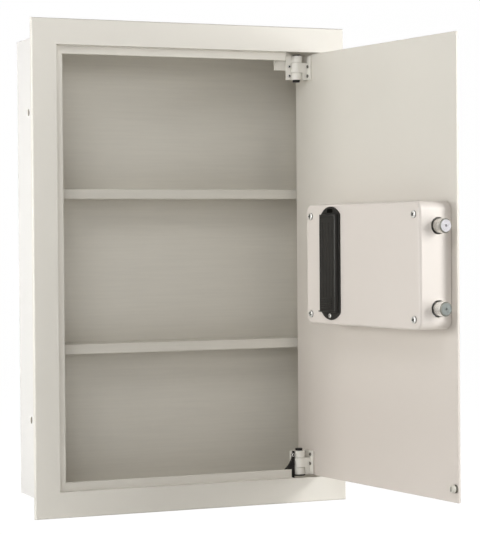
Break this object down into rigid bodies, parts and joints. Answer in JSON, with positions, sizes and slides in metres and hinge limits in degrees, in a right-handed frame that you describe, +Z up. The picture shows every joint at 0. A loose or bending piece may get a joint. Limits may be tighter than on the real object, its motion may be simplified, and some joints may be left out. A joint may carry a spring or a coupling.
{
  "type": "in-wall safe",
  "caption": "Flush in-wall safe with a hinged plate door shown open, shelves, and a knob-driven electronic lock with round bolts on the back of the door.",
  "frame": {"origin": "middle of the wall opening, in the plane of the wall surface (the rear rim of the front frame)", "axes": "+X towards the hinge side, +Y into the wall, +Z up"},
  "size_m": [0.4008, 0.3837, 0.559],
  "materials": {
    "frame_paint": "cream powder coat, fine orange peel",
    "box_paint": "cream powder coat, fine orange peel",
    "cover_paint": "cream powder coat, satin",
    "zinc_plate": "clear zinc plated",
    "bright_screw": "nickel plated",
    "dark_steel": "black oxide, matt",
    "bumper_metal": "dull zinc plated",
    "bolt_steel": "turned, nickel plated",
    "black_plastic": "fine grained",
    "housing_plastic": "fine grained",
    "key_plastic": "satin",
    "lock_chrome": "polished",
    "brass": "turned",
    "coil_wrap": "taped winding",
    "board_green": "solder mask",
    "component_dark": "moulded",
    "mat_rubber": "silicone",
    "cell_wrap": "plain sleeve",
    "light_lens": "clear"
  },
  "bodies": {
    "cabinet": {"cabinet_box": "box_paint", "back_panel": "box_paint", "front_frame": "frame_paint", "upper_shelf": "box_paint", "lower_shelf": "box_paint", "shelf_pins": "zinc_plate", "upper_hinge_bracket": "frame_paint", "lower_hinge_bracket": "dark_steel", "upper_frame_leaf": "frame_paint", "lower_frame_leaf": "frame_paint", "hinge_pins": "dark_steel", "frame_leaf_screws": "bright_screw"},
    "door": {"door_panel": "frame_paint", "upper_door_leaf": "frame_paint", "lower_door_leaf": "frame_paint", "door_leaf_screws": "bright_screw", "door_bumper": "bumper_metal", "lock_cover": "cover_paint", "cover_screws": "bright_screw", "cover_posts": "zinc_plate", "battery_case": "black_plastic", "battery_lid": "black_plastic", "battery_screw": "bright_screw", "battery_cells": "cell_wrap", "battery_contacts": "brass", "bolt_guide": "zinc_plate", "solenoid_frame": "zinc_plate", "solenoid_coil": "coil_wrap", "plunger_spring": "bolt_steel", "circuit_board": "board_green", "board_components": "component_dark", "spindle_bushing": "brass", "keypad_housing": "housing_plastic", "keypad_board": "board_green", "keypad_mat": "mat_rubber", "status_lights": "light_lens", "lock_cylinder": "lock_chrome", "lock_nut": "zinc_plate"},
    "bolt_carriage": {"bolt_bar": "zinc_plate", "upper_bolt": "bolt_steel", "lower_bolt": "bolt_steel"},
    "knob_assembly": {"knob": "housing_plastic", "knob_spindle": "bolt_steel", "knob_cam": "zinc_plate"},
    "plunger": {"solenoid_plunger": "bolt_steel"},
    "override_plug": {"lock_plug": "brass", "lock_plug_cam": "zinc_plate"},
    "key_1_body": {"key_1": "key_plastic"},
    "key_2_body": {"key_2": "key_plastic"},
    "key_3_body": {"key_3": "key_plastic"},
    "key_4_body": {"key_4": "key_plastic"},
    "key_5_body": {"key_5": "key_plastic"},
    "key_6_body": {"key_6": "key_plastic"},
    "key_7_body": {"key_7": "key_plastic"},
    "key_8_body": {"key_8": "key_plastic"},
    "key_9_body": {"key_9": "key_plastic"},
    "key_clear_body": {"key_clear": "key_plastic"},
    "key_0_body": {"key_0": "key_plastic"},
    "key_enter_body": {"key_enter": "key_plastic"}
  },
  "joints": [
    {"name": "door_hinge", "type": "hinge", "parent": "cabinet", "child": "door", "pos_m": [0.13775, 0.01075, 0], "axis": [0, 0, 1], "range_deg": [-97, 15]},
    {"name": "bolt_slide", "type": "slide", "parent": "door", "child": "bolt_carriage", "axis": [-0.1219, 0.9925, 0], "range_m": [0, 0.015]},
    {"name": "knob_turn", "type": "hinge", "parent": "door", "child": "knob_assembly", "pos_m": [0.17768, -0.20575, 0.0005], "axis": [-0.9925, -0.1219, 0], "range_deg": [0, 90]},
    {"name": "plunger_slide", "type": "slide", "parent": "door", "child": "plunger", "axis": [0, 0, 1], "range_m": [-0.0045, 0], "deforming": ["plunger_spring"]},
    {"name": "override_turn", "type": "hinge", "parent": "door", "child": "override_plug", "pos_m": [0.17238, -0.16257, 0.03361], "axis": [-0.9925, -0.1219, 0], "range_deg": [0, 90]},
    {"name": "key_1_press", "type": "slide", "parent": "door", "child": "key_1_body", "axis": [-0.9925, -0.1219, 0], "range_m": [0, 0.0012], "stiffness_N_per_m": 400, "springref_m": -0.0005},
    {"name": "key_2_press", "type": "slide", "parent": "door", "child": "key_2_body", "axis": [-0.9925, -0.1219, 0], "range_m": [0, 0.0012], "stiffness_N_per_m": 400, "springref_m": -0.0005},
    {"name": "key_3_press", "type": "slide", "parent": "door", "child": "key_3_body", "axis": [-0.9925, -0.1219, 0], "range_m": [0, 0.0012], "stiffness_N_per_m": 400, "springref_m": -0.0005},
    {"name": "key_4_press", "type": "slide", "parent": "door", "child": "key_4_body", "axis": [-0.9925, -0.1219, 0], "range_m": [0, 0.0012], "stiffness_N_per_m": 400, "springref_m": -0.0005},
    {"name": "key_5_press", "type": "slide", "parent": "door", "child": "key_5_body", "axis": [-0.9925, -0.1219, 0], "range_m": [0, 0.0012], "stiffness_N_per_m": 400, "springref_m": -0.0005},
    {"name": "key_6_press", "type": "slide", "parent": "door", "child": "key_6_body", "axis": [-0.9925, -0.1219, 0], "range_m": [0, 0.0012], "stiffness_N_per_m": 400, "springref_m": -0.0005},
    {"name": "key_7_press", "type": "slide", "parent": "door", "child": "key_7_body", "axis": [-0.9925, -0.1219, 0], "range_m": [0, 0.0012], "stiffness_N_per_m": 400, "springref_m": -0.0005},
    {"name": "key_8_press", "type": "slide", "parent": "door", "child": "key_8_body", "axis": [-0.9925, -0.1219, 0], "range_m": [0, 0.0012], "stiffness_N_per_m": 400, "springref_m": -0.0005},
    {"name": "key_9_press", "type": "slide", "parent": "door", "child": "key_9_body", "axis": [-0.9925, -0.1219, 0], "range_m": [0, 0.0012], "stiffness_N_per_m": 400, "springref_m": -0.0005},
    {"name": "key_clear_press", "type": "slide", "parent": "door", "child": "key_clear_body", "axis": [-0.9925, -0.1219, 0], "range_m": [0, 0.0012], "stiffness_N_per_m": 400, "springref_m": -0.0005},
    {"name": "key_0_press", "type": "slide", "parent": "door", "child": "key_0_body", "axis": [-0.9925, -0.1219, 0], "range_m": [0, 0.0012], "stiffness_N_per_m": 400, "springref_m": -0.0005},
    {"name": "key_enter_press", "type": "slide", "parent": "door", "child": "key_enter_body", "axis": [-0.9925, -0.1219, 0], "range_m": [0, 0.0012], "stiffness_N_per_m": 400, "springref_m": -0.0005}
  ],
  "couplings": [
    {"joint": "knob_turn", "follows": "bolt_slide", "rad_per_m": 104.72}
  ]
}
